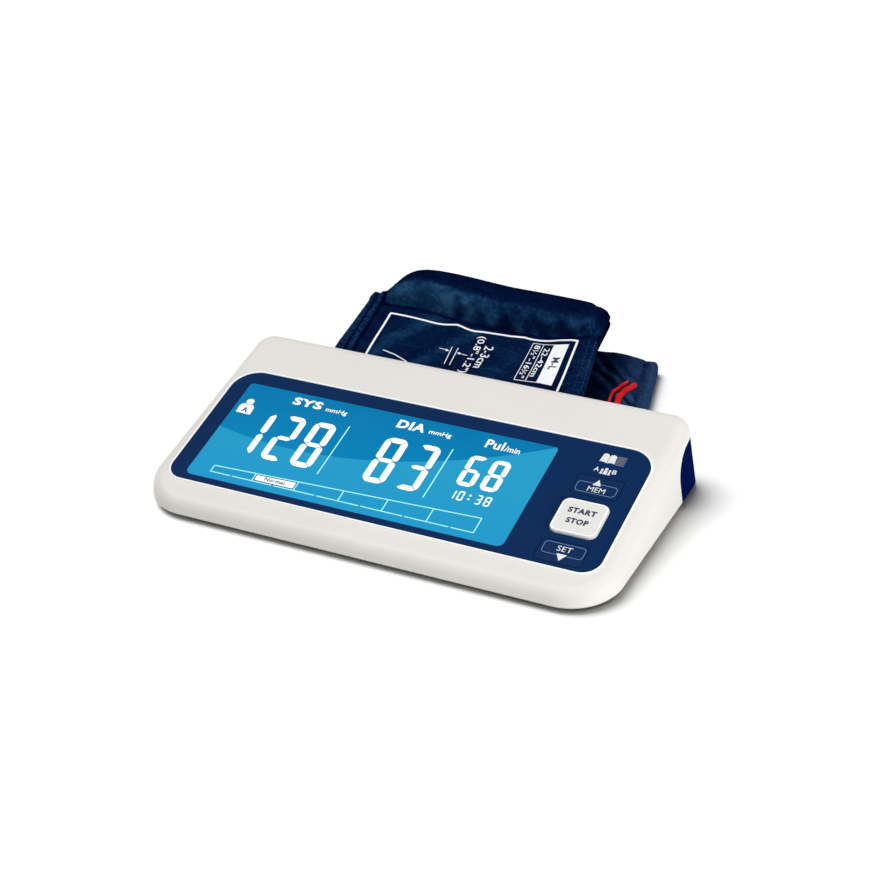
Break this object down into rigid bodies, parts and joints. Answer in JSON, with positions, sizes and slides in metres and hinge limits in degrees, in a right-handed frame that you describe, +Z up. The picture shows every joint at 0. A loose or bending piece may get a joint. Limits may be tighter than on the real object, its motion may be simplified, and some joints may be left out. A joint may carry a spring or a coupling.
{
  "type": "upper arm blood pressure monitor",
  "caption": "Desktop blood pressure monitor: drafted wedge housing, large sloping display, sprung keys, battery bay, air pump, and a folded arm cuff behind it.",
  "frame": {"origin": "on the ground, under the middle of the whole set, halfway between the housing's front and the cuff's rear", "axes": "+X to the user's right along the housing's width, +Y from the user towards the back, +Z up"},
  "size_m": [0.2322, 0.2073, 0.0461],
  "materials": {
    "shell": "satin warm white moulded plastic",
    "panel_navy": "satin navy moulded plastic",
    "fascia": "glossy navy panel",
    "lens": "clear glossy window",
    "display": "blue backlit display",
    "light": "white diffuser",
    "frame": "black moulded frame",
    "board": "green solder mask",
    "chips": "black epoxy packages",
    "metal": "plated steel",
    "motor": "zinc plated can",
    "pump_plastic": "natural moulded plastic",
    "rubber_part": "dark rubber",
    "tube": "translucent silicone",
    "tray": "fine textured warm white plastic",
    "cell": "plain sleeved steel cell",
    "key_white": "satin off-white key",
    "key_navy": "glossy navy key",
    "cloth": "navy coated nylon",
    "bladder": "thin black bladder",
    "hook": "black hook fastener",
    "tab": "red webbing",
    "port": "black moulded nipple"
  },
  "bodies": {
    "housing": {"top_cover": "shell", "rear_panel": "panel_navy", "base_tray": "tray", "fascia_panel": "fascia", "display_lens": "lens", "lcd_glass": "display", "backlight_panel": "light", "lcd_frame": "frame", "main_board": "board", "board_chips": "chips", "key_switches": "metal", "pressure_sensor": "pump_plastic", "buzzer": "chips", "pump_motor": "motor", "pump_head": "pump_plastic", "pump_cradle": "rubber_part", "air_manifold": "pump_plastic", "exhaust_valve": "metal", "air_tubes": "tube", "air_socket": "frame", "dc_jack": "frame", "batteries": "cell", "battery_plates": "metal", "battery_springs": "metal", "rubber_feet": "rubber_part", "case_screws": "metal", "board_screws": "metal"},
    "start_stop_key_body": {"start_stop_key": "key_white", "start_stop_plunger": "frame"},
    "mem_key_body": {"mem_key": "key_navy", "mem_plunger": "frame"},
    "set_key_body": {"set_key": "key_navy", "set_plunger": "frame"},
    "battery_door_body": {"battery_door": "tray"},
    "cuff": {"cuff_body": "cloth", "cuff_strap": "cloth", "cuff_bladder": "bladder", "cuff_hook_patch": "hook", "cuff_pull_tab": "tab", "cuff_port": "port"}
  },
  "joints": [
    {"name": "start_stop_press", "type": "slide", "parent": "housing", "child": "start_stop_key_body", "axis": [0, 0.2249, -0.9744], "range_m": [0, 0.001], "stiffness_N_per_m": 800, "springref_m": -0.0005},
    {"name": "mem_press", "type": "slide", "parent": "housing", "child": "mem_key_body", "axis": [0, 0.2249, -0.9744], "range_m": [0, 0.0006], "stiffness_N_per_m": 800, "springref_m": -0.0005},
    {"name": "set_press", "type": "slide", "parent": "housing", "child": "set_key_body", "axis": [0, 0.2249, -0.9744], "range_m": [0, 0.0006], "stiffness_N_per_m": 800, "springref_m": -0.0005},
    {"name": "battery_door_hinge", "type": "hinge", "parent": "housing", "child": "battery_door_body", "pos_m": [-0.03925, -0.02058, 0.002], "axis": [-1, 0, 0], "range_deg": [0, 75]},
    {"name": "cuff_lift", "type": "slide", "parent": "housing", "child": "cuff", "axis": [0, 0, 1], "range_m": [0, 0.15]}
  ]
}
